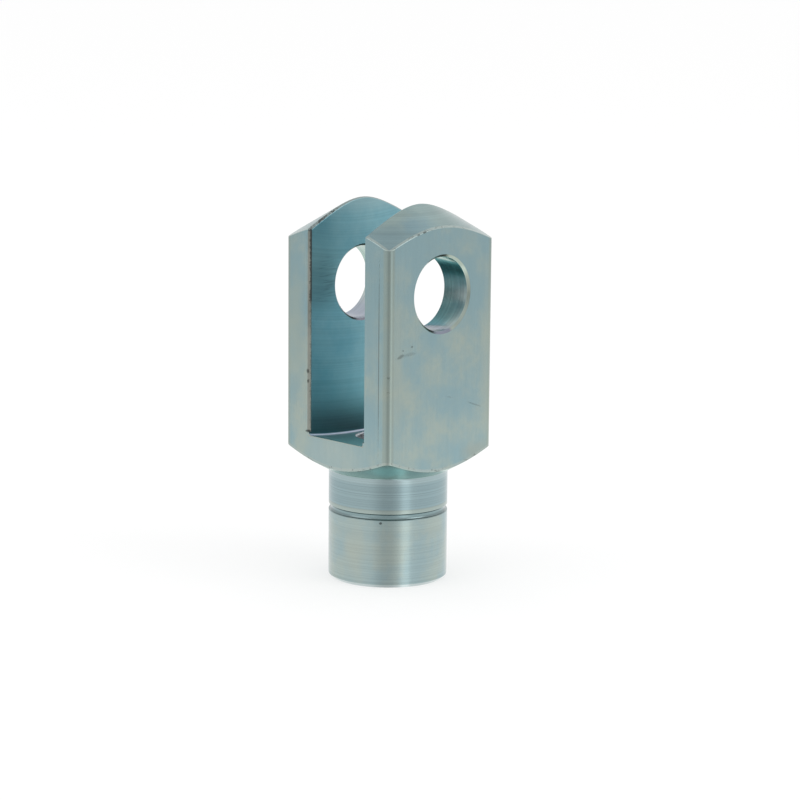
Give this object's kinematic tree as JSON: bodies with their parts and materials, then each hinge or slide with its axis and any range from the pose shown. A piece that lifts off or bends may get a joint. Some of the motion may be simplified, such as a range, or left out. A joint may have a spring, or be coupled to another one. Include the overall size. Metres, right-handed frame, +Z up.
{
  "type": "tension rod clevis",
  "caption": "Fork head for a tension rod: square steel fork with a cross pin bore through both ears and a round, internally threaded neck with a clip groove.",
  "frame": {"origin": "centre of the neck's end face, which the clevis stands on", "axes": "+Z up the fork along the rod's thread axis, Y along the pin bore, X along the slot"},
  "size_m": [0.032, 0.032, 0.0827],
  "materials": {
    "zinc_plated_steel": "machined steel, zinc plated with a blue passivation, satin with a faint beige and teal cast"
  },
  "bodies": {
    "root": {"clevis": "zinc_plated_steel"}
  },
  "joints": []
}
